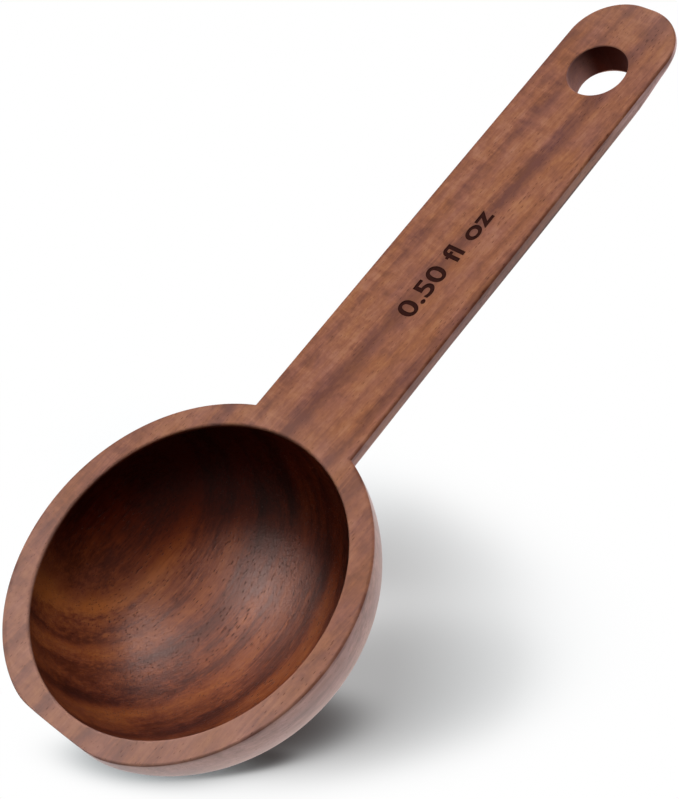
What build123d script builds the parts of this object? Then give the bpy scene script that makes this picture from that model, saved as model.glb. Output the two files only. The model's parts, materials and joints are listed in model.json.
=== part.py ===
from build123d import *
import math
import os

# A wooden measuring spoon that holds one tablespoon, 15 ml, level with its rim.
# Millimetres. While it is being modelled, the middle of the bowl's hollow is at X 0, Y 0,
# the flat top of the rim and the handle is at Z 0, and the handle runs out along +X. The
# finished solids are then moved so that the origin is the middle of the spoon's footprint,
# at the level of the bowl's lowest point.

# The bowl's hollow: steep sides that run into a shallower floor. The share is how much of
# the depth the arc of the sides would take if it ran on down to the floor.
hollow_radius = 20.9
hollow_depth = 15.5
hollow_side_share = 0.9
lip_round = 0.4

# The bowl's outside, shaped the same way
rim_wall = 3.2
bottom_wall = 3.1
outside_side_share = 0.833
rim_edge_round = 0.5

# The nose, where the end of the blank leaves a flat on the round outside
nose_cut = 0.8
nose_corner_round = 10.0

# The handle, flat on top and round underneath
handle_width_at_rim = 16.8
handle_width_at_hole = 15.75
handle_thickness_at_hole = 5.5
handle_side_height = 1.6
handle_edge_round = 0.4
handle_reach = 94.9
end_corner_round = 7.0

# The hole to hang it by
hole_radius = 4.0
hole_to_end = 11.3

# How far a cutting form runs past the surface that it cuts
overrun = 2.0

outside_radius = hollow_radius + rim_wall
outside_depth = hollow_depth + bottom_wall
nose_distance = outside_radius - nose_cut
hole_distance = handle_reach - hole_to_end


def half_width(x):
    """Half the handle's width at a distance from the bowl's middle."""
    narrowing = (handle_width_at_rim - handle_width_at_hole) / 2
    return handle_width_at_rim / 2 - narrowing * (x - outside_radius) / (hole_distance - outside_radius)


def turned(edges):
    """The form inside edges that are drawn in X and Z, turned about the bowl's axis."""
    return revolve(Plane.XZ * make_face(edges), Axis.Z)


def cup_curve(radius, depth, side_share, top):
    """Two arcs that meet smoothly: upright at the widest point, level at the bottom."""
    height = depth + top
    side_round = side_share * height
    side_centre = Vector(radius - side_round, top)
    floor_round = (side_centre.X**2 + height**2 - side_round**2) / 2 / (height - side_round)
    floor_centre = Vector(0, floor_round - depth)
    meeting = math.degrees(math.atan2(side_centre.Y - floor_centre.Y, side_centre.X))
    return [
        CenterArc(side_centre, side_round, meeting, -meeting),
        CenterArc(floor_centre, floor_round, -90, 90 + meeting),
    ]


def bowl_outside():
    """The round outside, up to a sharp edge at the top plane, with the flat at the nose."""
    form = turned(
        cup_curve(outside_radius, outside_depth, outside_side_share, 0)
        + [Line((0, -outside_depth), (0, 0)), Line((0, 0), (outside_radius, 0))]
    )
    beyond_nose = Box(
        nose_cut + overrun,
        2 * outside_radius,
        outside_depth + overrun,
        align=(Align.MAX, Align.CENTER, Align.CENTER),
    )
    form -= Pos(-nose_distance, 0, -outside_depth / 2) * beyond_nose
    nose_flat = form.faces().filter_by(Axis.X).sort_by(Axis.X)[0]
    nose_corners = nose_flat.edges().filter_by(GeomType.LINE, reverse=True)
    return fillet(nose_corners, nose_corner_round)


def hollow():
    """The space inside the bowl, wider at the top where the lip is rounded."""
    mouth_radius = hollow_radius + lip_round
    return turned(
        cup_curve(hollow_radius, hollow_depth, hollow_side_share, -lip_round)
        + [
            CenterArc((mouth_radius, -lip_round), lip_round, 90, 90),
            Line((mouth_radius, 0), (mouth_radius, overrun)),
            Line((mouth_radius, overrun), (0, overrun)),
            Line((0, overrun), (0, -hollow_depth)),
        ]
    )


def handle_outline():
    """The handle seen from above, from the bowl's middle to its end."""
    outline = make_face(
        Polyline(
            (0, -half_width(0)),
            (handle_reach, -half_width(handle_reach)),
            (handle_reach, half_width(handle_reach)),
            (0, half_width(0)),
            close=True,
        )
    )
    return fillet(outline.vertices().group_by(Axis.X)[-1], end_corner_round)


def handle_back():
    """The rounded underside: a slim cone along the handle that ends in a ball."""
    back_at_hole = handle_thickness_at_hole - handle_side_height
    back_radius_at_hole = (half_width(hole_distance) ** 2 + back_at_hole**2) / 2 / back_at_hole
    axis_height = back_radius_at_hole - handle_thickness_at_hole

    def back_radius(x):
        return math.hypot(half_width(x), axis_height + handle_side_height)

    ball_x = handle_reach - half_width(handle_reach)
    steepness = (back_radius(ball_x) - back_radius(0)) / ball_x
    lean = math.atan(steepness)
    ball_radius = back_radius(ball_x) * math.cos(lean)
    meeting = Vector(ball_x, 0) + Vector(0, ball_radius).rotate(Axis.Z, math.degrees(lean))
    profile = make_face(
        [
            Line((0, 0), (0, back_radius(0))),
            Line((0, back_radius(0)), meeting),
            CenterArc((ball_x, 0), ball_radius, 0, 90 + math.degrees(lean)),
            Line((ball_x + ball_radius, 0), (0, 0)),
        ]
    )
    return Pos(0, 0, axis_height) * revolve(profile, Axis.X)


def whole_handle():
    """The handle before it is fitted to the bowl, from the bowl's middle to its end."""
    form = extrude(handle_outline(), -outside_depth) & handle_back()
    top = form.faces().sort_by(Axis.Z)[-1]
    side_and_end_edges = top.edges().sort_by(Axis.X)[1:]
    return fillet(side_and_end_edges, handle_edge_round)


def hanging_hole():
    """The straight drilled hole near the handle's end."""
    drill = Cylinder(hole_radius, 2 * (handle_thickness_at_hole + overrun))
    return Pos(hole_distance, 0, 0) * drill


# The handle's top runs on over the wall to the hollow, so the rim stays sharp there, and
# its first stretch belongs to the bowl. The two solids meet on the bowl's outside.
bowl_form = bowl_outside()
handle_form = whole_handle()
rim_edges = bowl_form.faces().sort_by(Axis.Z)[-1].edges()
bowl = fillet(rim_edges, rim_edge_round) + (handle_form & bowl_form) - hollow()
handle = handle_form - bowl_form - hanging_hole()

to_footprint = Pos((nose_distance - handle_reach) / 2, 0, outside_depth)
parts = {
    "bowl": to_footprint * bowl,
    "handle": to_footprint * handle,
}

os.makedirs("parts", exist_ok=True)
for name, shape in parts.items():
    export_step(shape, f"parts/{name}.step")

below_rim = Box(
    2 * outside_radius,
    2 * outside_radius,
    outside_depth,
    align=(Align.CENTER, Align.CENTER, Align.MAX),
)
capacity = (hollow() & below_rim).volume
print(f"level capacity {capacity:.0f} cubic millimetres, overall length {nose_distance + handle_reach:.2f}")
for name, shape in parts.items():
    box = shape.bounding_box()
    print(name, shape.is_valid, len(shape.solids()), round(shape.volume, 1), box)
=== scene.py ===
import json
import math

import bmesh
import bpy
from bpy.props import FloatProperty, FloatVectorProperty, PointerProperty, StringProperty
from mathutils import Euler, Matrix, Vector


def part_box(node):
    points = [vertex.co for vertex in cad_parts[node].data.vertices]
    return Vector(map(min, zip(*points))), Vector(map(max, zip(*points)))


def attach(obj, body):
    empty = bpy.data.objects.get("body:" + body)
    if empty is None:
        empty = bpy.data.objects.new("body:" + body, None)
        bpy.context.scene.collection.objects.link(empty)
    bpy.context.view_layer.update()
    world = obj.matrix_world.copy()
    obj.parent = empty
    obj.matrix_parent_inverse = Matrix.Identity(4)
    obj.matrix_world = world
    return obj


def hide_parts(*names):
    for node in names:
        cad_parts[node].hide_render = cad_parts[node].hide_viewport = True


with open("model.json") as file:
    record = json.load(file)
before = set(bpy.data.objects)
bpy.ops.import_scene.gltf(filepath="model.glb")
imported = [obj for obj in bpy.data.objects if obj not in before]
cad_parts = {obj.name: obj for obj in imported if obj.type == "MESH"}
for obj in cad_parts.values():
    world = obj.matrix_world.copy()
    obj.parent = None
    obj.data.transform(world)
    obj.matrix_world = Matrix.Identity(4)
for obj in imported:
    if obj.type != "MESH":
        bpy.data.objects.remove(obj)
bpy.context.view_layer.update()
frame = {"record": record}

bl_info = {
    "name": "Wooden Measuring Spoon",
    "version": (1, 0, 0),
    "blender": (4, 5, 0),
    "location": "3D View > Sidebar > Spoon",
    "description": "Carves a walnut measuring spoon, burns its capacity into the handle and lights it",
    "category": "Add Mesh",
}

MM = 0.001
PER_METRE = 1000.0
# Points nearer than this are merged, and heights or places nearer than these count as the same.
MERGE_DISTANCE = MM / 10000
SAME_PLACE = MM / 1000
SAME_HEIGHT = MM / 100

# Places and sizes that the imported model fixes. The spoon is carved about the middle of its
# bowl, with the flat top at height zero, and is then moved to its place.
MOUNTS = {mount["name"]: mount for mount in frame["record"]["mounts"]}
BOWL_LOW, BOWL_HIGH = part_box("bowl")
HANDLE_LOW, HANDLE_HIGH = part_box("handle")
BOWL_MIDDLE = Vector((MOUNTS["rim_face"]["pos_m"][0], 0, BOWL_HIGH.z))
OUTSIDE_RADIUS = BOWL_HIGH.x - BOWL_MIDDLE.x
OUTSIDE_DEPTH = BOWL_HIGH.z - BOWL_LOW.z
HALF_BREADTH = min(BOWL_HIGH.y, -BOWL_LOW.y)
NOSE_DISTANCE = BOWL_MIDDLE.x - BOWL_LOW.x
HANDLE_START = HANDLE_LOW.x - BOWL_MIDDLE.x
HANDLE_REACH = HANDLE_HIGH.x - BOWL_MIDDLE.x
HOLE_DISTANCE = MOUNTS["hanging_hole"]["pos_m"][0] - BOWL_MIDDLE.x
HOLE_RADIUS = MOUNTS["hanging_hole"]["dims"]["r_mm"] * MM
HANDLE_THICKNESS = MOUNTS["hanging_hole"]["dims"]["length_mm"] * MM


def length(name, description, default):
    """A size of the spoon, in metres."""
    return FloatProperty(name=name, description=description, default=default, unit="LENGTH", precision=5)


def share(name, description, default):
    """A plain factor from nought to one."""
    return FloatProperty(
        name=name, description=description, default=default, min=0, max=1, subtype="FACTOR"
    )


def strength(name, description, default):
    """The strength of a lamp."""
    return FloatProperty(name=name, description=description, default=default, subtype="FACTOR")


def angle(name, description, default):
    """An angle, in radians."""
    return FloatProperty(name=name, description=description, default=default, subtype="ANGLE")


def colour(name, description, default):
    """A linear colour without alpha."""
    return FloatVectorProperty(
        name=name, description=description, default=default, subtype="COLOR", size=3, min=0, max=1
    )


class SpoonSizes(bpy.types.PropertyGroup):
    """The sizes that shape the wood."""

    hollow_radius: length("Hollow radius", "From the middle of the bowl to its inner wall", 20.9 * MM)
    hollow_depth: length("Hollow depth", "From the rim to the bottom of the hollow", 15.5 * MM)
    hollow_side_share: share("Hollow side", "How much of the depth the arc of the side takes", 0.9)
    lip_round: length("Lip round", "Radius of the softened inner edge of the rim", 0.4 * MM)
    outside_side_share: share("Outside side", "How much of the height the arc of the side takes", 0.833)
    rim_edge_round: length("Rim edge round", "Radius of the rim's outer edge", 0.35 * MM)
    nose_softness: length("Nose softness", "How gently the flat nose runs into the round", 0.5 * MM)
    swell: length("Swell", "How far the hand-sanded outside stands out at its fullest", 0.45 * MM)
    swell_angle: angle("Swell angle", "Where it is fullest, turned from the handle", math.radians(140))
    swell_spread: angle("Swell spread", "How far round the bowl the swell reaches", math.radians(32))
    half_width_at_hole: length("Half width", "Half the handle's width at the hole", 7.875 * MM)
    end_round: length("End round", "Radius of the two corners of the handle's end", 7.0 * MM)
    side_height: length("Side height", "Height of the upright side of the handle", 1.6 * MM)
    handle_edge_round: length("Handle edge", "Radius of the handle's top edge", 0.4 * MM)
    back_edge_round: length("Back edge", "Width of the softened edge under the handle's side", 0.2 * MM)
    end_lift: length("End lift", "How much lower the upright side is at the handle's end", 0.65 * MM)
    side_drop: length("Side drop", "How much taller one side is where it was sanded less", 0.3 * MM)
    hole_edge_round: length("Hole edge", "Radius of the softened edge of the hole", 0.3 * MM)


class MarkSettings(bpy.types.PropertyGroup):
    """The capacity that is burned into the handle."""

    words: StringProperty(name="Words", description="A capacity in a general unit", default="0.50 fl oz")
    start: length("Start", "Where the words start, from the middle of the bowl", 41.9 * MM)
    span: length("Span", "How far the words reach along the handle", 17.1 * MM)
    baseline: length("Baseline", "Where the foot of the words is, off the handle's middle", -2.05 * MM)
    figure_height: length("Figure height", "Height of a figure", 2.7 * MM)
    boldness: length("Boldness", "How much each stroke is thickened on either side", 0.08 * MM)
    burn_depth: length("Burn depth", "How deep the words are burned in", 0.12 * MM)


class WoodFinish(bpy.types.PropertyGroup):
    """The colours and the surface of the walnut."""

    light: colour("Light wood", "The palest growth layers", (0.37, 0.16, 0.092))
    middle: colour("Middle wood", "Most of the wood", (0.27, 0.104, 0.060))
    dark: colour("Dark wood", "The late wood of a growth layer", (0.20, 0.075, 0.047))
    vein: colour("Vein", "The purple-brown veins", (0.145, 0.054, 0.038))
    burned: colour("Burned wood", "The mark on the handle", (0.018, 0.004, 0.0025))
    # Painted sheen: the pale colour that the bowl, its nose most, and the handle's end are paled towards.
    painted_sheen: colour("Worn wood", "The paler wood round the nose", (0.62, 0.47, 0.43))
    # Painted reflection: the colour that the outside is paled towards, and painted light in the hanging
    # hole.
    outside: colour("Outside", "What pales the hand-rubbed outside", (0.84, 0.545, 0.56))
    sway: length("Sway", "How far the growth layers wander along the grain", 1.2 * MM)
    pore_depth: length("Pore depth", "How deep the open pores look", 0.05 * MM)
    top_roughness: share("Top roughness", "Sanded wood of the flat top", 0.75)
    side_roughness: share("Side roughness", "Buffed wood of the outside and the handle's back", 0.5)
    hollow_roughness: share("Hollow roughness", "Smoother wood inside the bowl", 0.32)
    hole_roughness: share("Hole roughness", "Drilled wood of the hanging hole", 0.8)
    top_gloss: share("Top gloss", "How strongly the flat top mirrors", 0.05)
    side_gloss: share("Side gloss", "How strongly the outside and the back mirror", 0.6)
    hollow_gloss: share("Hollow gloss", "How strongly the hollow mirrors", 0.09)
    hole_gloss: share("Hole gloss", "How strongly the hanging hole mirrors", 0.03)
    side_bloom: share("Side bloom", "How much fine fibres pale the outside where it turns away", 0.15)
    # Painted reflection: how far the outside is paled towards the white floor that it mirrors.
    side_reflection_paling: share("Side paling", "How much rubbing by hand has paled the outside", 0.21)
    side_relief: share("Side relief", "How rough the outside and the back look", 0.3)
    top_relief: share("Top relief", "How rough the flat top looks", 0.6)
    hollow_relief: share("Hollow relief", "How rough the hollow looks", 1.0)
    hole_relief: share("Hole relief", "How rough the hanging hole looks", 0.6)
    hollow_light: colour("Light wood of the hollow", "The palest oiled layers", (0.26, 0.078, 0.022))
    hollow_middle: colour("Middle wood of the hollow", "Most of the oiled wood", (0.155, 0.040, 0.015))
    hollow_dark: colour("Dark wood of the hollow", "The dark oiled layers", (0.082, 0.019, 0.009))
    hollow_vein: colour("Veins of the hollow", "The darkest oiled veins", (0.042, 0.010, 0.006))


class StudioSettings(bpy.types.PropertyGroup):
    """Camera, lamps and floor."""

    camera_place: FloatVectorProperty(
        name="Camera place",
        description="Where the camera stands",
        default=(-61.577 * MM, -145.671 * MM, 203.906 * MM),
        subtype="TRANSLATION",
        unit="LENGTH",
        size=3,
    )
    camera_turn: FloatVectorProperty(
        name="Camera turn",
        description="How the camera is turned",
        default=(math.radians(34.36), math.radians(21.342), math.radians(-48.604)),
        subtype="EULER",
        size=3,
    )
    camera_lens: FloatProperty(name="Lens", description="Focal length", default=89.314, unit="CAMERA")
    main_lamp: strength("Main lamp", "Strength of the lamp beyond the handle", 1.3)
    top_lamp: strength("Top lamp", "Strength of the lamp overhead", 1.6)
    side_lamp: strength("Side lamp", "Strength of the lamp at the left", 1.0)
    sheen_lamps: strength("Sheen lamps", "Strength of the lamps that only sheens show", 6.6)
    floor_lamp: strength("Floor lamp", "Strength of the lamp over the floor", 33.6)
    floor_top_lamp: strength("Floor top lamp", "Strength of the wide lamp over the floor", 12.0)
    surroundings: share("Surroundings", "Brightness of the rest of the room", 0.015)


# Steps of a full turn, of a long arc and of a softened edge.
SEGMENTS = 256
ARC_STEPS = 20
EDGE_STEPS = 5
# The swell grows with this power of the distance from the bowl's middle.
SWELL_POWER = 4
# The nose is flattened within this angle to either side of its middle.
NOSE_SECTOR = math.pi / 3
# Keeps the division by a sine finite near the handle and the nose.
SMALLEST_SINE = 0.1
# A face this level belongs to the flat top, and one that faces up this much to its softened edge.
LEVEL = 0.9
FACES_UP = 0.3
# Edges sharper than the first angle are softened. Those sharper than the second look sharp.
SOFTENED_ANGLE = math.radians(20)
SHARP_ANGLE = math.radians(32)


def arc(centre, radius, start, end, steps):
    """Points on an arc in the profile plane, both ends included. Angles are in radians."""
    turn = (end - start) / steps
    return [
        (centre[0] + radius * math.cos(start + turn * i), centre[1] + radius * math.sin(start + turn * i))
        for i in range(steps + 1)
    ]


def cup_points(radius, depth, side_share, top):
    """A cup's profile from the middle of its floor to its widest point: two arcs that meet smoothly."""
    height = depth + top
    side_round = side_share * height
    side_middle = radius - side_round
    floor_round = (side_middle**2 + height**2 - side_round**2) / 2 / (height - side_round)
    floor_centre = floor_round - depth
    meeting = math.atan2(top - floor_centre, side_middle)
    floor = arc((0, floor_centre), floor_round, -math.pi / 2, meeting, ARC_STEPS)
    side = arc((side_middle, top), side_round, meeting, 0, ARC_STEPS)
    return floor[:-1] + side


def chain(form, points):
    """A line of vertices through points of the profile plane, X and Z."""
    verts = [form.verts.new((x, 0, z)) for x, z in points]
    edges = [form.edges.new(pair) for pair in zip(verts, verts[1:])]
    return verts + edges


def turned(points):
    """A closed form, turned from a profile whose two ends lie on the axis."""
    form = bmesh.new()
    bmesh.ops.spin(
        form,
        geom=chain(form, points),
        cent=(0, 0, 0),
        axis=(0, 0, 1),
        angle=math.tau,
        steps=SEGMENTS,
        use_merge=True,
        use_duplicate=False,
    )
    return tidied(form)


def tidied(form):
    """Merges what coincides and turns every face outward."""
    bmesh.ops.remove_doubles(form, verts=form.verts, dist=MERGE_DISTANCE)
    bmesh.ops.recalc_face_normals(form, faces=form.faces)
    return form


def placed(name, data):
    """An object of that name in the scene."""
    piece = bpy.data.objects.new(name, data)
    bpy.context.scene.collection.objects.link(piece)
    return piece


def as_object(name, form):
    """An object of that name that holds the finished form."""
    mesh = bpy.data.meshes.new(name)
    form.to_mesh(mesh)
    form.free()
    return placed(name, mesh)


def evaluated_mesh(piece):
    """A new mesh of what a piece's modifiers or words make of it."""
    evaluated = piece.evaluated_get(bpy.context.evaluated_depsgraph_get())
    return bpy.data.meshes.new_from_object(evaluated)


def combine(piece, tool, operation, self_crossing=False):
    """Joins a tool to a piece, or cuts it out of the piece. The surfaces keep the tool's material."""
    modifier = piece.modifiers.new(operation, "BOOLEAN")
    modifier.operation = operation
    modifier.solver = "EXACT"
    modifier.object = tool
    modifier.material_mode = "TRANSFER"
    modifier.use_self = self_crossing
    swap_for_evaluated(piece)
    bpy.data.objects.remove(tool)


def swap_for_evaluated(piece):
    """Replaces a piece's mesh with what its modifiers make of it."""
    mesh = evaluated_mesh(piece)
    piece.modifiers.clear()
    piece.data = mesh


def close_gaps(piece):
    """Closes any small gap that the cutting left in a wall of the letters."""
    form = bmesh.new()
    form.from_mesh(piece.data)
    made = bmesh.ops.holes_fill(form, edges=[edge for edge in form.edges if edge.is_boundary], sides=8)
    for face in made["faces"]:
        beside = [other for edge in face.edges for other in edge.link_faces if other is not face]
        face.material_index = max(other.material_index for other in beside)
    tidied(form).to_mesh(piece.data)
    form.free()


def smooth_minimum(a, b, softness):
    """The smaller of two lengths, with a soft change from one to the other."""
    return (a + b - math.hypot(a - b, softness)) / 2


def bowl_outside(sizes):
    """The bowl before it is hollowed: turned, sanded a little fuller on one side, flat at the nose."""
    edge = sizes.rim_edge_round
    side = cup_points(OUTSIDE_RADIUS, OUTSIDE_DEPTH, sizes.outside_side_share, 0)
    while side[-1][1] > -edge:
        side.pop()
    corner = arc((OUTSIDE_RADIUS - edge, -edge), edge, 0, math.pi / 2, EDGE_STEPS)
    form = turned(side + corner + [(0, 0)])
    for vert in form.verts:
        radius = math.hypot(vert.co.x, vert.co.y)
        if radius < sizes.hollow_radius / 2:
            continue
        bearing = math.atan2(vert.co.y, vert.co.x)
        spread = (bearing - sizes.swell_angle) / sizes.swell_spread
        fullness = (radius / OUTSIDE_RADIUS) ** SWELL_POWER
        wanted = radius + sizes.swell * fullness * math.exp(-spread * spread)
        if math.cos(bearing) < -math.cos(NOSE_SECTOR):
            to_nose = NOSE_DISTANCE / -math.cos(bearing)
            wanted = smooth_minimum(wanted, to_nose, sizes.nose_softness)
        widest = HALF_BREADTH / max(abs(math.sin(bearing)), SMALLEST_SINE)
        vert.co.x *= wanted / radius
        vert.co.y *= min(wanted, widest) / radius
    return as_object("bowl_outside", form)


def hollow(sizes):
    """The form that is cut out of the bowl, wider at the top where the lip is rounded."""
    lip = sizes.lip_round
    side = cup_points(sizes.hollow_radius, sizes.hollow_depth, sizes.hollow_side_share, -lip)
    lip_curve = arc((sizes.hollow_radius + lip, -lip), lip, math.pi, math.pi / 2, EDGE_STEPS)
    above = [(sizes.hollow_radius + lip, OUTSIDE_DEPTH), (0, OUTSIDE_DEPTH)]
    return as_object("hollow", turned(side + lip_curve[1:] + above))


def hole(sizes):
    """The drill's form, a little wider at both ends where the edges of the hole are softened."""
    edge = sizes.hole_edge_round
    top = arc((HOLE_RADIUS + edge, -edge), edge, math.pi / 2, math.pi, EDGE_STEPS)
    upward = [(0, HANDLE_THICKNESS), (HOLE_RADIUS + edge, HANDLE_THICKNESS)]
    flare_start = -HANDLE_THICKNESS + 3 * edge
    downward = [(HOLE_RADIUS, flare_start), (HOLE_RADIUS + 2 * edge, -HANDLE_THICKNESS - edge)]
    form = turned(upward + top + downward + [(0, -HANDLE_THICKNESS - edge)])
    bmesh.ops.translate(form, verts=form.verts, vec=(HOLE_DISTANCE, 0, 0))
    return as_object("hole", form)


def back_curve(half_width, side_height, thickness, inner, steps):
    """The handle's rounded underside from the foot of its side to a place near its middle."""
    rise = thickness - side_height
    back_round = (half_width**2 + rise**2) / 2 / rise
    centre = (0, back_round - thickness)
    start = math.atan2(-side_height - centre[1], half_width)
    end = -math.acos(inner / back_round)
    return arc(centre, back_round, start, end, steps)


def handle(sizes):
    """Half the handle's section, turned round each corner of its end and drawn out to the bowl."""
    corner_x = HANDLE_REACH - sizes.end_round
    narrowing = (HANDLE_HIGH.y - sizes.half_width_at_hole) / (HOLE_DISTANCE - HANDLE_START)
    half_width = sizes.half_width_at_hole - narrowing * (corner_x - HOLE_DISTANCE)
    inner = half_width - sizes.end_round
    under = back_curve(half_width, sizes.side_height, HANDLE_THICKNESS, inner, ARC_STEPS)
    section = [(inner, 0), (half_width, 0)] + under
    form = bmesh.new()
    line = chain(form, section)
    bmesh.ops.rotate(form, verts=form.verts, cent=(0, 0, 0), matrix=Matrix.Rotation(math.pi / 2, 3, "Z"))
    bmesh.ops.translate(form, verts=form.verts, vec=(corner_x, 0, 0))
    line = quarter_turn(form, line, (corner_x, inner, 0))
    line = drawn(form, line, (0, -2 * inner, 0))
    quarter_turn(form, line, (corner_x, -inner, 0))
    bmesh.ops.remove_doubles(form, verts=form.verts, dist=MERGE_DISTANCE)
    open_edges = [edge for edge in form.edges if edge.is_boundary]
    start_x = sizes.hollow_radius / 2
    drawn(form, open_edges, (start_x - corner_x, 0, 0))
    start = [vert for vert in form.verts if abs(vert.co.x - start_x) < SAME_PLACE]
    widening = 1 + narrowing * (corner_x - start_x) / half_width
    bmesh.ops.scale(form, verts=start, vec=(1, widening, widening))
    for vert in start:
        if abs(vert.co.y) > half_width:
            vert.co.z = max(vert.co.z, -sizes.side_height * (vert.co.z < 0))
    bmesh.ops.contextual_create(form, geom=[edge for edge in form.edges if edge.is_boundary])
    tidied(form)
    soften(form, 0, sizes.handle_edge_round)
    soften(form, -sizes.side_height, sizes.back_edge_round)
    sand_sides(form, sizes)
    return as_object("handle_blank", form)


def smooth_step(value, start, end):
    """Nought before the start, one after the end, and a smooth rise between."""
    part = min(max((value - start) / (end - start), 0), 1)
    return part * part * (3 - 2 * part)


def sand_sides(form, sizes):
    """Makes the upright side lower at its end, and one side taller where it was sanded less."""
    lift_start = HOLE_DISTANCE - 3 * MM
    lift_end = HOLE_DISTANCE + 6 * MM
    drop_start = HOLE_DISTANCE - 50 * MM
    drop_full = HOLE_DISTANCE - 20 * MM
    cuts = 28
    for i in range(cuts + 1):
        cut = (drop_start + (lift_end - drop_start) * i / cuts, 0, 0)
        below = [face for face in form.faces if face.normal.z < LEVEL]
        edges = {edge for face in below for edge in face.edges}
        verts = {vert for face in below for vert in face.verts}
        geom = [*verts, *edges, *below]
        bmesh.ops.bisect_plane(form, geom=geom, dist=MERGE_DISTANCE, plane_co=cut, plane_no=(1, 0, 0))
    upper = -sizes.handle_edge_round
    foot = -sizes.side_height
    fade_out = 2.2 * foot
    for vert in form.verts:
        at_foot = smooth_step(vert.co.z, upper, foot) * smooth_step(vert.co.z, fade_out, foot)
        lifted = smooth_step(vert.co.x, lift_start, lift_end)
        dropped = smooth_step(vert.co.x, drop_start, drop_full) * (1 - lifted) * (vert.co.y < 0)
        vert.co.z += at_foot * (sizes.end_lift * lifted - sizes.side_drop * dropped)


def quarter_turn(form, line, centre):
    """Turns a line of the form by a quarter about an upright axis and returns its last copy."""
    made = bmesh.ops.spin(
        form,
        geom=line,
        cent=centre,
        axis=(0, 0, 1),
        angle=-math.pi / 2,
        steps=SEGMENTS // 8,
        use_merge=False,
        use_duplicate=False,
    )
    return made["geom_last"]


def drawn(form, line, way):
    """Draws a line of the form out along a way and returns its far copy."""
    made = bmesh.ops.extrude_edge_only(form, edges=[e for e in line if isinstance(e, bmesh.types.BMEdge)])
    far = made["geom"]
    verts = [e for e in far if isinstance(e, bmesh.types.BMVert)]
    bmesh.ops.translate(form, verts=verts, vec=way)
    return [e for e in far if not isinstance(e, bmesh.types.BMFace)]


def soften(form, height, width):
    """Rounds the long edge that runs round the handle at a height."""
    level = [
        edge
        for edge in form.edges
        if all(abs(vert.co.z - height) < SAME_HEIGHT for vert in edge.verts)
        and len(edge.link_faces) == 2
        and edge.calc_face_angle() > SOFTENED_ANGLE
        and any(abs(vert.co.x) > HANDLE_START for vert in edge.verts)
    ]
    bmesh.ops.bevel(
        form,
        geom=level,
        offset=width,
        offset_type="OFFSET",
        affect="EDGES",
        segments=EDGE_STEPS,
        profile=0.5,
        material=-1,
        clamp_overlap=True,
    )


def words(mark):
    """The raised letters whose form is burned into the handle's top."""
    curve = bpy.data.curves.new("words", "FONT")
    curve.body = mark.words
    curve.size = 1
    holder = placed("words", curve)
    mesh = evaluated_mesh(holder)
    first_figure = curve.size / 2
    tall = max(vert.co.y for vert in mesh.vertices if vert.co.x < first_figure)
    left = min(vert.co.x for vert in mesh.vertices)
    wide = max(vert.co.x for vert in mesh.vertices) - left
    bpy.data.meshes.remove(mesh)
    growth = mark.figure_height / tall
    curve.offset = mark.boldness / growth
    curve.extrude = mark.burn_depth / growth
    mesh = evaluated_mesh(holder)
    form = bmesh.new()
    form.from_mesh(mesh)
    bpy.data.meshes.remove(mesh)
    bpy.data.objects.remove(holder)
    bmesh.ops.translate(form, verts=form.verts, vec=(-left, 0, 0))
    bmesh.ops.scale(form, verts=form.verts, vec=(mark.span / wide, growth, growth))
    bmesh.ops.translate(form, verts=form.verts, vec=(mark.start, mark.baseline, 0))
    return as_object("words", tidied(form))


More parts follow.
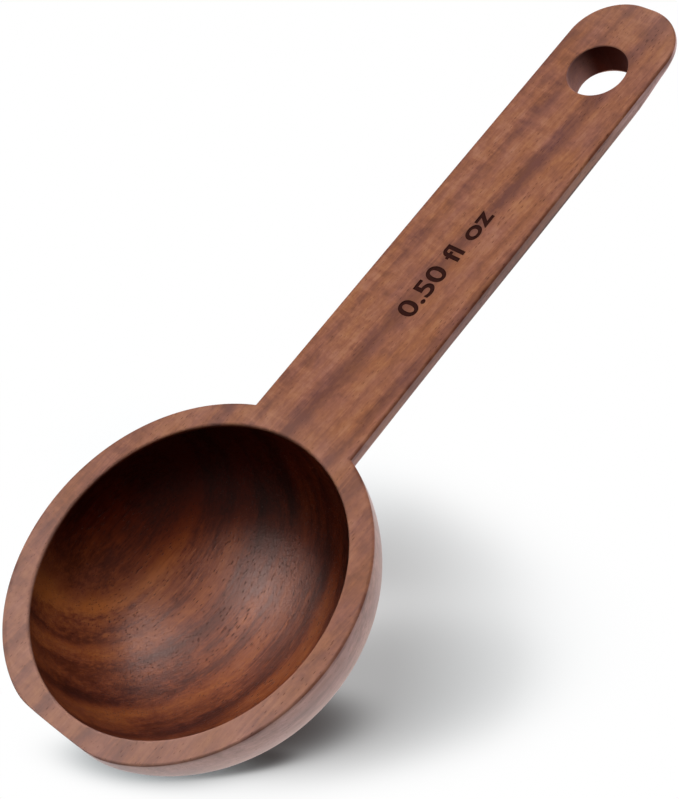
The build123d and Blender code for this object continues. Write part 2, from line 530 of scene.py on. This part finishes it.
class Nodes:
    """A material or a world that is put together from nodes."""

    def __init__(self, name, kind="materials"):
        self.made = getattr(bpy.data, kind).new(name)
        self.made.use_nodes = True
        self.tree = self.made.node_tree
        self.tree.nodes.clear()

    def add(self, kind, inputs, **settings):
        """Adds a node. Each input takes a value or the output of another node."""
        node = self.tree.nodes.new(kind)
        for key, value in settings.items():
            setattr(node, key, value)
        for key, value in inputs.items():
            if isinstance(value, bpy.types.NodeSocket):
                self.tree.links.new(value, node.inputs[key])
            else:
                node.inputs[key].default_value = value
        return node

    def calculate(self, operation, first, second=0, clamp=False):
        inputs = {0: first, 1: second}
        return self.add("ShaderNodeMath", inputs, operation=operation, use_clamp=clamp).outputs[0]

    def times(self, first, second, clamp=False):
        return self.calculate("MULTIPLY", first, second, clamp)

    def split(self, vector):
        """The outputs X, Y and Z of a vector."""
        return self.add("ShaderNodeSeparateXYZ", {"Vector": vector}).outputs

    def distance(self, vector):
        """How long a vector is."""
        return self.add("ShaderNodeVectorMath", {0: vector}, operation="LENGTH").outputs["Value"]

    def total(self, *terms):
        """Adds up pairs of a value and its weight."""
        result = 0
        for value, weight in terms:
            inputs = {0: value, 1: weight, 2: result}
            result = self.add("ShaderNodeMath", inputs, operation="MULTIPLY_ADD").outputs[0]
        return result

    def weighted(self, values, weights):
        """Adds up named values, each times its weight."""
        return self.total(*((values[name], weight) for name, weight in weights.items()))

    def moved(self, vector, move=(0, 0, 0), turn=(0, 0, 0), scale=(1, 1, 1)):
        inputs = {"Vector": vector, "Location": move, "Rotation": turn, "Scale": scale}
        return self.add("ShaderNodeMapping", inputs).outputs[0]

    def noise(self, vector, scale, detail=2.0, roughness=0.5, distortion=0.0):
        """Noise from about minus a half to a half. The scale is one over its size in mm."""
        stretched = self.moved(vector, scale=scale)
        inputs = {
            "Vector": stretched,
            "Scale": 1,
            "Detail": detail,
            "Roughness": roughness,
            "Distortion": distortion,
        }
        value = self.add("ShaderNodeTexNoise", inputs).outputs[0]
        return self.calculate("SUBTRACT", value, 0.5)

    def step(self, value, start, end):
        """Nought before the start, one after the end, and a smooth rise between."""
        inputs = {"Value": value, "From Min": start, "From Max": end}
        return self.add("ShaderNodeMapRange", inputs, interpolation_type="SMOOTHSTEP").outputs[0]

    def ramp(self, value, stops):
        """Colours at places from nought to one."""
        node = self.add("ShaderNodeValToRGB", {"Fac": value})
        elements = node.color_ramp.elements
        while len(elements) < len(stops):
            elements.new(1)
        for element, (place, shade) in zip(elements, stops):
            element.position = place
            element.color = (*shade, 1)
        return node.outputs[0]

    def mix(self, factor, first, second, blend="MIX"):
        node = self.add("ShaderNodeMix", {"Factor": factor}, data_type="RGBA", blend_type=blend)
        for socket, value in zip(node.inputs[6:8], (first, second)):
            if isinstance(value, bpy.types.NodeSocket):
                self.tree.links.new(value, socket)
            else:
                socket.default_value = (*value, 1)
        return node.outputs[2]

    def mix_value(self, factor, first, second):
        inputs = {0: factor, 2: first, 3: second}
        return self.add("ShaderNodeMix", inputs, data_type="FLOAT").outputs[0]

    def finish(self, shader, output="ShaderNodeOutputMaterial"):
        self.add(output, {"Surface": shader})
        return self.made


# The growth layers stand nearly upright and run nearly along the handle.
GRAIN_TURN = (math.radians(21.3), 0, math.radians(3.36))
# The layers wander with noise. This is one over its size in mm.
SWAY_SCALE = (0.02, 0.06, 0.06)
# In the cuts the layers bend: by how much per square mm, how far at most in mm, and how far they
# are shifted as well. The bend fades out between two places across the layers.
BEND = 0.009
LARGEST_BEND = 4
BEND_SHIFT = 1.5
BENT_LAYERS = (20, 9)

# The kinds of figure in the wood are noise: one over its size in mm along the grain, across the
# layers and up, then its detail, roughness and distortion.
FIGURE = {
    "broad": ((0.012, 0.17, 0.05), 2, 0.5, 0),
    "cloud": ((0.09, 0.25, 0.2), 2, 0.6, 0),
    "medium": ((0.025, 0.75, 0.2), 3, 0.5, 0),
    "streak": ((0.16, 1.7, 1.1), 3, 0.6, 0),
    "fine": ((0.12, 3.6, 2.4), 3, 0.65, 0),
    "fibre": ((0.4, 8.0, 8.0), 2, 0.5, 0),
    "curl": ((0.8, 0.2, 0.2), 3, 0.6, 0.5),
    "mottle": ((0.32, 0.42, 0.42), 3, 0.7, 0.4),
    "speckle": ((1.0, 1.9, 1.9), 3, 0.65, 0),
    "warmth": ((0.16, 0.36, 0.3), 3, 0.65, 0),
}
# The curl grows strong between two places across the layers, along a line that wanders.
CURL_LINE_SCALE = (0.03, 0.1, 0.1)
CURL_LINE = {"line": 14, "layer": 1}
CURLED_LAYERS = (0, 7)
CURL_STRENGTH = {"curled": 0.7, "plain": 0.3}

# Dark veins: place across the layers in mm from the bowl's middle, half width, strength. They
# fade out over a multiple of the half width.
VEINS = (
    (2.45, 1.25, 0.52),
    (-4.35, 0.95, 0.44),
    (7.55, 0.75, 0.26),
    (-1.90, 0.55, 0.18),
    (11.9, 1.0, 0.34),
    (-9.3, 1.3, 0.40),
    (-13.5, 0.7, 0.25),
    (19.5, 1.2, 0.22),
    (-20.9, 0.9, 0.30),
)
VEIN_FADE = 1.5
# Amber bands in the hollow, given the same way.
AMBER_BANDS = (
    (16.3, 1.5, 0.50),
    (22.2, 1.3, 0.75),
)
AMBER_FADE = 1.2

# How strongly each kind of figure counts in the measures of the wood. Plain stands for one.
RAGGED = {"medium": 1.6, "streak": 1.2, "fine": 0.8, "curl": 0.9, "layer": 1}
SHARED = {"broad": 0.7, "cloud": 0.55, "medium": 0.45, "streak": 0.5, "fine": 0.4, "fibre": 0.3}
SANDED_TONE = {"shared": 0.95, "curl_here": 0.9, "mottle": 0.8, "speckle": 0.6, "vein": -1, "plain": 0.6}
OILED_TONE = {
    "shared": 1.2,
    "curl_here": 0.25,
    "mottle": 0.3,
    "speckle": 0.35,
    "broad": 0.4,
    "vein": -0.6,
    "amber": 1,
    "plain": 0.56,
}
WARM_SHARE = {"warmth": 2.6, "plain": 0.5}
PALE_PATCHES = {"cloud": 1, "mottle": 1, "streak": 1.9, "fine": 2, "vein": -0.4, "plain": 1}
PORE_CROWD = {"medium": 0.3, "cloud": 0.35, "in_cut": 0.035, "plain": 0.185}

# Where the four tones of the wood stand from dark to light, and its cool and its warm tint.
SANDED_STOPS = (0, 0.3, 0.58, 1)
OILED_STOPS = (0.05, 0.32, 0.58, 1)
TINTS = ((0, (0.98, 1.0, 1.15)), (1, (1.03, 1.0, 0.80)))

# The hollow's surface is in this egg shape about the bowl's middle, below the lip, in mm. The
# skin is where the shape softly ends, as shares of its size.
HOLLOW_HALF_SIZES = (22.5, 22.5, 17.05)
HOLLOW_SKIN = (1.01, 0.99)
BELOW_LIP = (-0.2, -0.7)
# The surface of the hanging hole is taken to end this far beyond its radius, in mm.
HOLE_SKIN = (0.12, 0.04)
# How far the hole is coloured as oiled wood, and how far it is paled as painted light.
HOLE_OILED = 0.1
HOLE_PAINTED_LIGHT = 0.2
# Painted shade on the hole's far wall: where it starts and is full in mm, and its colour.
HOLE_PAINTED_SHADE = (-0.8, 2.8)
HOLE_PAINTED_SHADE_COLOUR = (0.11, 0.030, 0.014)
# Painted shade on the sides of the oiled hollow: the way in which each deepens in X and Y, where
# along it the shade starts and is full in mm, and its colour.
HOLLOW_PAINTED_SHADES = (
    ((1, 0), (3, 14), (0.36, 0.20, 0.12)),
    ((0, 1), (-5, -15), (0.74, 0.66, 0.62)),
    ((0.6, 0.8), (9, 18), (0.60, 0.25, 0.12)),
    ((-1, -0.6), (8, 15), (0.68, 0.64, 0.70)),
)

# Where a painted sheen pales the wood: the start and the full place along X in mm, and how much.
SHEEN_STRETCHES = (
    ((10, -16), 0.12),
    ((28, 20), 0.05),
    ((82, 96), 0.06),
)
# Stretches of the outside along X in mm, each from its start to where it is full. The outside is paled
# as painted reflection of the white floor, most at the tip as a painted highlight, least on one stretch.
ON_BOWL = (32, 20)
LEAST_PALED_START = (48, 57)
LEAST_PALED_END = (77, 70)
ON_HANDLE = (26, 32)
HANDLE_TIP = (75, 82)
REFLECTION_PALING_ALONG = {"on_bowl": 0.26, "plain": 0.55, "least_paled": -0.5, "tip": 1.5}
# The near side is paled in full as painted reflection and the far side less, along Y in mm.
NEAR_SIDE = (9, -6)
REFLECTION_PALING_ACROSS = {"near": 0.6, "plain": 0.4}
# Painted shade in a dark line under the handle's upright side: its upper and lower edge along Z in mm.
UNDER_TOP = (-1.4, -1.65)
UNDER_FOOT = (-3.0, -2.3)
UNDER_SHADE_SHARE = {"least_paled": 0.4, "on_handle": 0.6}
UNDER_SHADE_COLOUR = (0.36, 0.30, 0.30)

# The darkened edge of the flat top. Each side of the handle narrows by the taper per mm, and its
# edge is darkened at a distance from its middle and along a stretch, in mm.
HANDLE_TAPER = 0.0088
HANDLE_EDGE = (8.1, 8.55)
EDGE_START = (23.5, 24.5)
EDGE_END = (73, 79)
EDGE_SHARE = 0.2
# The rim's edge is found by its radius in mm. It is fainter at the nose and broken into patches.
RIM_EDGE = (23.65, 23.95)
OFF_HANDLE = (5, 0)
OFF_NOSE = (-18, -8)
RIM_SHARE = {"off_nose": 0.6, "plain": 0.4}
PATCH_SCALE = (0.24, 0.24, 0.24)
PATCH_EDGE = (-0.06, 0.10)
PATCH_SHARE = {"patch": 0.6, "plain": 0.25}
EDGE_HEIGHT = (-0.9, -0.5)
EDGE_COLOUR = (0.60, 0.50, 0.49)

# Open pores: one over their size in mm, how softly they end, and how dark they are outside the
# cuts and in them.
PORE_SCALE = (0.75, 3.5, 3.5)
PORE_SOFTNESS = 0.12
PORE_DARK = (0.5, 0.85)
# How strongly each counts in the relief, in that of the hollow, and in the roughness.
RELIEF = {"pore": -1, "fibre": 0.25, "fine": 0.3}
HOLLOW_RELIEF = {"pore": -1, "fibre": 0.6, "fine": 0.3}
ROUGHER = {"pore": 0.2, "fine": 0.15, "streak": 0.15}
# The tint of what the wood mirrors, and how rough its bloom is.
MIRROR_TINT = (1.0, 0.77, 0.70, 1)
BLOOM_ROUGHNESS = 0.5


def grain_space(nodes):
    """Places in mm about the bowl's middle, and the same turned along the grain."""
    place = nodes.add("ShaderNodeTexCoord", {}).outputs["Object"]
    middle = nodes.moved(place, move=-BOWL_MIDDLE * PER_METRE, scale=(PER_METRE,) * 3)
    return middle, nodes.moved(middle, turn=GRAIN_TURN)


def inside_cuts(nodes, middle):
    """One on the hollow's surface, one on that of the hanging hole, and the place across the hole."""
    cup = nodes.moved(middle, scale=[1 / size for size in HOLLOW_HALF_SIZES])
    from_middle = nodes.distance(cup)
    below_lip = nodes.step(nodes.split(middle)["Z"], *BELOW_LIP)
    in_hollow = nodes.times(nodes.step(from_middle, *HOLLOW_SKIN), below_lip)
    about_hole = nodes.moved(middle, move=(-HOLE_DISTANCE * PER_METRE, 0, 0), scale=(1, 1, 0))
    from_hole = nodes.distance(about_hole)
    in_hole = nodes.step(from_hole, *(HOLE_RADIUS * PER_METRE + beyond for beyond in HOLE_SKIN))
    return in_hollow, in_hole, nodes.split(about_hole)["X"]


def growth_layers(nodes, finish, grain, in_cut):
    """The place across the wandering growth layers, and the whole place along, across and up."""
    turned_place = nodes.split(grain)
    sway = nodes.noise(grain, SWAY_SCALE, detail=1)
    straight = nodes.total((sway, 2 * finish.sway * PER_METRE), (turned_place["Y"], 1))
    bend = nodes.times(nodes.times(turned_place["X"], turned_place["X"]), BEND)
    bend = nodes.calculate("ADD", nodes.calculate("MINIMUM", bend, LARGEST_BEND), BEND_SHIFT)
    bend = nodes.times(bend, nodes.step(straight, *BENT_LAYERS))
    layer = nodes.calculate("SUBTRACT", straight, nodes.times(bend, in_cut))
    inputs = {"X": turned_place["X"], "Y": layer, "Z": turned_place["Z"]}
    return layer, nodes.add("ShaderNodeCombineXYZ", inputs).outputs[0]


def bands(nodes, ragged, table, fade):
    """How strong the bands of a table are at a ragged place across the layers."""
    found = []
    for place, half_width, depth in table:
        away = nodes.calculate("ABSOLUTE", nodes.calculate("SUBTRACT", ragged, place))
        found.append((nodes.step(away, half_width * fade, 0), depth))
    return nodes.total(*found)


def wood_figure(nodes, grain, layer, layers, in_cut):
    """Every kind of figure in the wood by its name, with its veins, bands and pores."""
    figure = {"plain": 1, "layer": layer, "in_cut": in_cut}
    for kind, (scale, detail, roughness, distortion) in FIGURE.items():
        figure[kind] = nodes.noise(layers, scale, detail, roughness, distortion)
    figure["line"] = nodes.noise(grain, CURL_LINE_SCALE)
    figure["curled"] = nodes.step(nodes.weighted(figure, CURL_LINE), *CURLED_LAYERS)
    curl_strength = nodes.weighted(figure, CURL_STRENGTH)
    figure["curl_here"] = nodes.times(figure["curl"], curl_strength)
    ragged = nodes.weighted(figure, RAGGED)
    figure["vein"] = bands(nodes, ragged, VEINS, VEIN_FADE)
    figure["amber"] = bands(nodes, ragged, AMBER_BANDS, AMBER_FADE)
    figure["shared"] = nodes.weighted(figure, SHARED)
    inputs = {"Vector": nodes.moved(layers, scale=PORE_SCALE), "Scale": 1}
    from_pore = nodes.add("ShaderNodeTexVoronoi", inputs).outputs["Distance"]
    crowd = nodes.weighted(figure, PORE_CROWD)
    figure["pore"] = nodes.step(nodes.calculate("SUBTRACT", crowd, from_pore), 0, PORE_SOFTNESS)
    return figure


def wood_colour(nodes, finish, figure):
    """Sanded wood, and oiled wood in the cuts, warmer in some places than in others."""
    colours = (finish.vein, finish.dark, finish.middle, finish.light)
    sanded = nodes.ramp(nodes.weighted(figure, SANDED_TONE), list(zip(SANDED_STOPS, colours)))
    colours = (finish.hollow_vein, finish.hollow_dark, finish.hollow_middle, finish.hollow_light)
    oiled = nodes.ramp(nodes.weighted(figure, OILED_TONE), list(zip(OILED_STOPS, colours)))
    wood = nodes.mix(figure["in_cut"], sanded, oiled)
    tint = nodes.ramp(nodes.weighted(figure, WARM_SHARE), TINTS)
    return nodes.mix(1, wood, tint, "MULTIPLY")


def painted_sheen(nodes, finish, wood, place, in_hollow):
    """Pales the wood with a painted sheen, but not in the hollow."""
    sheen_share = nodes.total(*((nodes.step(place["X"], *ends), much) for ends, much in SHEEN_STRETCHES))
    outside = nodes.calculate("SUBTRACT", 1, in_hollow)
    return nodes.mix(nodes.times(sheen_share, outside), wood, finish.painted_sheen)


def painted_reflection_and_shade(nodes, finish, wood, figure, place, reflection_paling):
    """Pales the outside in patches as painted reflection, and paints shade in a line under the handle's
    side.
    """
    before_end = nodes.step(place["X"], *LEAST_PALED_END)
    here = {
        "plain": 1,
        "on_bowl": nodes.step(place["X"], *ON_BOWL),
        "least_paled": nodes.times(nodes.step(place["X"], *LEAST_PALED_START), before_end),
        "on_handle": nodes.times(nodes.step(place["X"], *ON_HANDLE), before_end),
        "tip": nodes.step(place["X"], *HANDLE_TIP),
        "near": nodes.step(place["Y"], *NEAR_SIDE),
    }
    # Painted reflection of the white floor, and a painted highlight at the handle's tip.
    much = nodes.times(nodes.weighted(here, REFLECTION_PALING_ALONG), reflection_paling)
    much = nodes.times(much, nodes.weighted(here, REFLECTION_PALING_ACROSS))
    patches = nodes.weighted(figure, PALE_PATCHES)
    wood = nodes.mix(nodes.times(patches, much, clamp=True), wood, finish.outside)
    # Painted shade in a line under the handle's upright side.
    below = nodes.step(place["Z"], *UNDER_TOP)
    under = nodes.times(below, nodes.step(place["Z"], *UNDER_FOOT))
    under = nodes.times(under, nodes.weighted(here, UNDER_SHADE_SHARE))
    return nodes.mix(under, wood, UNDER_SHADE_COLOUR, "MULTIPLY")


def painted_light_and_shade(nodes, finish, wood, place, in_hollow, in_hole, across_hole):
    """Pales the hanging hole as painted light, and paints shade on its far wall and the sides of the
    hollow.
    """
    # Painted light pales the hanging hole, and painted shade darkens its far wall.
    wood = nodes.mix(nodes.times(in_hole, HOLE_PAINTED_LIGHT), wood, finish.outside)
    shade = nodes.times(nodes.step(across_hole, *HOLE_PAINTED_SHADE), in_hole)
    wood = nodes.mix(shade, wood, HOLE_PAINTED_SHADE_COLOUR, "MULTIPLY")
    # Painted shade on the sides of the hollow.
    for (along_x, along_y), stretch, painted_shade_colour in HOLLOW_PAINTED_SHADES:
        way = nodes.total((place["X"], along_x), (place["Y"], along_y))
        shade = nodes.times(nodes.step(way, *stretch), in_hollow)
        wood = nodes.mix(shade, wood, painted_shade_colour, "MULTIPLY")
    return wood


def outer_edge(nodes, middle, place):
    """How much the flat top's edge is darkened: along the handle, and in patches round the rim."""
    off_middle = nodes.calculate("ABSOLUTE", place["Y"])
    beside = nodes.step(nodes.total((place["X"], HANDLE_TAPER), (off_middle, 1)), *HANDLE_EDGE)
    after_start = nodes.step(place["X"], *EDGE_START)
    after_end = nodes.step(place["X"], *EDGE_END)
    along = nodes.total((after_start, EDGE_SHARE), (after_end, -EDGE_SHARE))
    handle_edge = nodes.times(beside, along)
    flat_place = nodes.moved(middle, scale=(1, 1, 0))
    radius = nodes.distance(flat_place)
    off_handle = nodes.calculate("MAXIMUM", nodes.step(place["X"], *OFF_HANDLE), beside)
    rim_edge = nodes.times(nodes.step(radius, *RIM_EDGE), off_handle)
    here = {
        "plain": 1,
        "off_nose": nodes.step(place["X"], *OFF_NOSE),
        "patch": nodes.step(nodes.noise(middle, PATCH_SCALE), *PATCH_EDGE),
    }
    for weights in (RIM_SHARE, PATCH_SHARE):
        rim_edge = nodes.times(rim_edge, nodes.weighted(here, weights))
    edges = nodes.calculate("ADD", handle_edge, rim_edge, clamp=True)
    return nodes.times(edges, nodes.step(place["Z"], *EDGE_HEIGHT))


def walnut(finish, part, bloom=0.0, reflection_paling=0.0, relief=RELIEF):
    """Walnut as a solid, finished as one part of the spoon is. It is oiled in the cuts."""
    nodes = Nodes(part + "_walnut")
    middle, grain = grain_space(nodes)
    in_hollow, in_hole, across_hole = inside_cuts(nodes, middle)
    in_cut = nodes.calculate("MAXIMUM", in_hollow, nodes.times(in_hole, HOLE_OILED))
    layer, layers = growth_layers(nodes, finish, grain, in_cut)
    figure = wood_figure(nodes, grain, layer, layers, in_cut)
    place = nodes.split(middle)
    wood = wood_colour(nodes, finish, figure)
    # A painted sheen pales the bowl, its nose most, and the handle's end.
    wood = painted_sheen(nodes, finish, wood, place, in_hollow)
    # Painted reflection of the white floor on the outside, and painted shade under the handle's side.
    if reflection_paling:
        wood = painted_reflection_and_shade(nodes, finish, wood, figure, place, reflection_paling)
    # Painted light in the hanging hole, and painted shade on its far wall and in the hollow.
    wood = painted_light_and_shade(nodes, finish, wood, place, in_hollow, in_hole, across_hole)
    wood = nodes.mix(outer_edge(nodes, middle, place), wood, EDGE_COLOUR, "MULTIPLY")
    pore_dark = nodes.times(figure["pore"], nodes.mix_value(in_cut, *PORE_DARK))
    wood = nodes.mix(pore_dark, wood, finish.burned)
    inputs = {
        "Height": nodes.weighted(figure, relief),
        "Distance": finish.pore_depth,
        "Strength": getattr(finish, part + "_relief"),
    }
    bump = nodes.add("ShaderNodeBump", inputs)
    rougher = nodes.weighted(figure, ROUGHER)
    surface = nodes.add(
        "ShaderNodeBsdfPrincipled",
        {
            "Base Color": wood,
            "Roughness": nodes.calculate("ADD", rougher, getattr(finish, part + "_roughness")),
            "Specular IOR Level": getattr(finish, part + "_gloss"),
            "Specular Tint": MIRROR_TINT,
            "Sheen Weight": bloom,
            "Sheen Roughness": BLOOM_ROUGHNESS,
            "Normal": bump.outputs[0],
        },
    )
    return nodes.finish(surface.outputs[0])


# The scorched fibres: one over their size in mm, how they show, and the finish of the burned wood.
SCORCHED_SCALE = (0.5, 6.0, 6.0)
SCORCHED_SHADE = {"fibre": 1.2, "plain": 0.4}
SCORCHED_RELIEF = 0.8
SCORCHED_ROUGHNESS = 0.8
SCORCHED_GLOSS = 0.02


def burned_wood(finish):
    """Wood scorched nearly black, with the fibres just showing."""
    nodes = Nodes("burned_wood")
    grain = grain_space(nodes)[1]
    fibre = nodes.noise(grain, SCORCHED_SCALE, detail=3)
    browner = [2 * channel for channel in finish.burned]
    tone = nodes.weighted({"fibre": fibre, "plain": 1}, SCORCHED_SHADE)
    shade = nodes.ramp(tone, ((0, finish.burned), (1, browner)))
    inputs = {"Height": fibre, "Distance": finish.pore_depth, "Strength": SCORCHED_RELIEF}
    bump = nodes.add("ShaderNodeBump", inputs)
    surface = nodes.add(
        "ShaderNodeBsdfPrincipled",
        {
            "Base Color": shade,
            "Roughness": SCORCHED_ROUGHNESS,
            "Specular IOR Level": SCORCHED_GLOSS,
            "Normal": bump.outputs[0],
        },
    )
    return nodes.finish(surface.outputs[0])


# The soft forms of the shadow on the floor, in mm about the bowl's middle: depth, middle, how
# far it is turned, its two half sizes and how plainly it ends.
SHADOW_FORMS = (
    (0.70, (16.8, 4.4), math.radians(-80.0), (32.2, 9.2), 3.3),
    (0.90, (-0.9, -12.5), math.radians(-142.7), (10.1, 28.0), 4.4),
    (2.49, (-11.6, -4.8), math.radians(127.9), (17.3, 5.1), 4.6),
    (2.94, (-15.1, -6.8), math.radians(-52.4), (9.8, 1.5), 4.6),
)
# A painted shadow on the floor close under the nose, given the same way: the camera sees it black.
NOSE_PAINTED_SHADOW = (0.55, (-20.1, 1.9), math.radians(-66.0), (10.6, 2.9), 3.0)
FLOOR_COLOUR = (0.094, 0.1, 0.102, 1)
FLOOR_RADIUS = 4
FLOOR_SEGMENTS = 96
# Nothing nearer to the camera than this is seen, in metres.
CAMERA_START = 0.01

# Distant lamps: the way each shines from and how many degrees wide it looks. Each sheen lamp
# also has its share of the strength of them all.
SPOON_LAMPS = (
    ("main_lamp", (0.66, 0.10, 0.74), 40),
    ("side_lamp", (-0.22, 0.56, 0.80), 22),
    ("top_lamp", (0.45, 0.16, 0.88), 24),
)
SHEEN_LAMPS = (
    ("sheen_wide", (0.0, 0.52, 0.85), 46, 0.66),
    ("sheen_top", (0.50, 0.14, 0.85), 26, 0.46),
    ("sheen_side", (-0.18, 0.55, 0.81), 22, 0.40),
)
FLOOR_LAMPS = (
    ("floor_lamp", (-0.25, 0.78, 0.58), 45),
    ("floor_top_lamp", (0.1, 0.4, 0.91), 60),
)


def soft_form(nodes, middle, form):
    """How deep one soft form of the shadow is at a place on the floor."""
    depth, (x, y), turn, (half_length, half_width), plainness = form
    about = nodes.moved(nodes.moved(middle, move=(-x, -y, 0)), turn=(0, 0, -turn))
    sized = nodes.moved(about, scale=(1 / half_length, 1 / half_width, 0))
    away = nodes.distance(sized)
    fall = nodes.times(nodes.calculate("POWER", away, plainness), -1)
    return nodes.times(nodes.calculate("EXPONENT", fall), depth)


def white_floor():
    """A white floor. The camera sees its shadow near the bowl, and the spoon sees it plain white."""
    nodes = Nodes("white_floor")
    matt = nodes.add("ShaderNodeBsdfDiffuse", {"Color": FLOOR_COLOUR})
    plain = nodes.add("ShaderNodeEmission", {"Color": (1, 1, 1, 1), "Strength": 1})
    middle = grain_space(nodes)[0]
    shadowed = nodes.total(*((soft_form(nodes, middle, form), 1) for form in SHADOW_FORMS))
    seen = nodes.add("ShaderNodeLightPath", {}).outputs["Is Camera Ray"]
    clear_share = nodes.calculate("EXPONENT", nodes.times(shadowed, -1))
    shadow_share = nodes.calculate("SUBTRACT", 1, clear_share)
    # The painted shadow under the nose is plain black to the camera.
    painted_shadow = nodes.add("ShaderNodeEmission", {"Color": (0, 0, 0, 1), "Strength": 0})
    surface = plain
    for part, covering in ((shadow_share, matt), (soft_form(nodes, middle, NOSE_PAINTED_SHADOW), painted_shadow)):
        covered = nodes.times(part, seen)
        inputs = {0: covered, 1: surface.outputs[0], 2: covering.outputs[0]}
        surface = nodes.add("ShaderNodeMixShader", inputs)
    return nodes.finish(surface.outputs[0])


def studio_world(studio):
    """White where the camera, a gloss or a clear piece sees it, and dim as a light."""
    nodes = Nodes("studio", "worlds")
    ray = nodes.add("ShaderNodeLightPath", {}).outputs
    seen = nodes.calculate("MAXIMUM", ray["Is Camera Ray"], ray["Is Glossy Ray"])
    seen = nodes.calculate("MAXIMUM", seen, ray["Is Transmission Ray"])
    brightness = nodes.mix_value(seen, studio.surroundings, 1)
    white = nodes.add("ShaderNodeBackground", {"Color": (1, 1, 1, 1), "Strength": brightness})
    return nodes.finish(white.outputs[0], "ShaderNodeOutputWorld")


class SPOON_OT_carve(bpy.types.Operator):
    """Carves the whole spoon out of one blank"""

    bl_idname = "spoon.carve"
    bl_label = "Carve the spoon"

    def execute(self, context):
        sizes = context.scene.spoon_sizes
        finish = context.scene.spoon_finish
        spoon = bowl_outside(sizes)
        side = walnut(finish, "side", bloom=finish.side_bloom, reflection_paling=finish.side_reflection_paling)
        top = walnut(finish, "top")
        oiled = walnut(finish, "hollow", relief=HOLLOW_RELIEF)
        drilled = walnut(finish, "hole")
        spoon.data.materials.append(side)
        spoon.name = "walnut_spoon"
        blank = handle(sizes)
        blank.data.materials.append(side)
        letters = words(context.scene.spoon_mark)
        letters.data.materials.append(burned_wood(finish))
        combine(blank, letters, "DIFFERENCE", self_crossing=True)
        combine(spoon, blank, "UNION")
        drill = hole(sizes)
        drill.data.materials.append(drilled)
        combine(spoon, drill, "DIFFERENCE")
        cutter = hollow(sizes)
        cutter.data.materials.append(oiled)
        combine(spoon, cutter, "DIFFERENCE")
        close_gaps(spoon)
        spoon.data.materials.append(top)
        burned_index = spoon.data.materials.find("burned_wood")
        top_index = spoon.data.materials.find(top.name)
        top_foot = -sizes.handle_edge_round - SAME_HEIGHT
        for face in spoon.data.polygons:
            near_top = face.center.z > top_foot and face.normal.z > FACES_UP
            if near_top and face.material_index != burned_index:
                face.material_index = top_index
        spoon.data.transform(Matrix.Translation(BOWL_MIDDLE))
        spoon.data.shade_smooth()
        spoon.data.set_sharp_from_angle(angle=SHARP_ANGLE)
        spoon.modifiers.new("even", "WEIGHTED_NORMAL").keep_sharp = True
        swap_for_evaluated(spoon)
        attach(spoon, "root")
        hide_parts("bowl", "handle")
        return {"FINISHED"}


def hang_lamp(name, way, width, power, lit):
    """A distant soft lamp. It shines from a way, looks so many degrees wide and lights one object."""
    lamp = bpy.data.lights.new(name, "SUN")
    lamp.energy = power
    lamp.angle = math.radians(width)
    holder = placed(name, lamp)
    holder.rotation_euler = Vector(way).to_track_quat("Z", "Y").to_euler()
    receivers = bpy.data.collections.new(name)
    receivers.objects.link(lit)
    holder.light_linking.receiver_collection = receivers
    return holder


class SPOON_OT_set_stage(bpy.types.Operator):
    """Lays the floor, hangs the lamps and places the camera"""

    bl_idname = "spoon.set_stage"
    bl_label = "Set the stage"

    def execute(self, context):
        studio = context.scene.spoon_studio
        form = bmesh.new()
        bmesh.ops.create_circle(form, cap_ends=True, segments=FLOOR_SEGMENTS, radius=FLOOR_RADIUS)
        floor = as_object("floor", form)
        floor.data.materials.append(white_floor())
        camera_data = bpy.data.cameras.new("camera")
        camera_data.lens = studio.camera_lens
        camera_data.clip_start = CAMERA_START
        camera = placed("camera", camera_data)
        camera.location = studio.camera_place
        camera.rotation_euler = Euler(studio.camera_turn)
        context.scene.camera = camera
        spoon = bpy.data.objects["walnut_spoon"]
        for name, way, width in SPOON_LAMPS:
            hang_lamp(name, way, width, getattr(studio, name), spoon)
        for name, way, width, power in SHEEN_LAMPS:
            lamp = hang_lamp(name, way, width, power * studio.sheen_lamps, spoon)
            lamp.visible_diffuse = False
        for name, way, width in FLOOR_LAMPS:
            hang_lamp(name, way, width, getattr(studio, name), floor)
        context.scene.world = studio_world(studio)
        context.scene.view_settings.view_transform = "Standard"
        return {"FINISHED"}


class VIEW3D_PT_spoon(bpy.types.Panel):
    """Lists the steps that make the spoon"""

    bl_label = "Measuring Spoon"
    bl_space_type = "VIEW_3D"
    bl_region_type = "UI"
    bl_category = "Spoon"

    def draw(self, context):
        for step in (SPOON_OT_carve, SPOON_OT_set_stage):
            self.layout.operator(step.bl_idname)


CLASSES = (
    SpoonSizes,
    MarkSettings,
    WoodFinish,
    StudioSettings,
    SPOON_OT_carve,
    SPOON_OT_set_stage,
    VIEW3D_PT_spoon,
)


def register():
    for cls in CLASSES:
        bpy.utils.register_class(cls)
    bpy.types.Scene.spoon_sizes = PointerProperty(type=SpoonSizes)
    bpy.types.Scene.spoon_mark = PointerProperty(type=MarkSettings)
    bpy.types.Scene.spoon_finish = PointerProperty(type=WoodFinish)
    bpy.types.Scene.spoon_studio = PointerProperty(type=StudioSettings)


def unregister():
    del bpy.types.Scene.spoon_studio
    del bpy.types.Scene.spoon_finish
    del bpy.types.Scene.spoon_mark
    del bpy.types.Scene.spoon_sizes
    for cls in reversed(CLASSES):
        bpy.utils.unregister_class(cls)


def main():
    register()
    bpy.ops.spoon.carve()
    bpy.ops.spoon.set_stage()


if __name__ == "__main__":
    main()
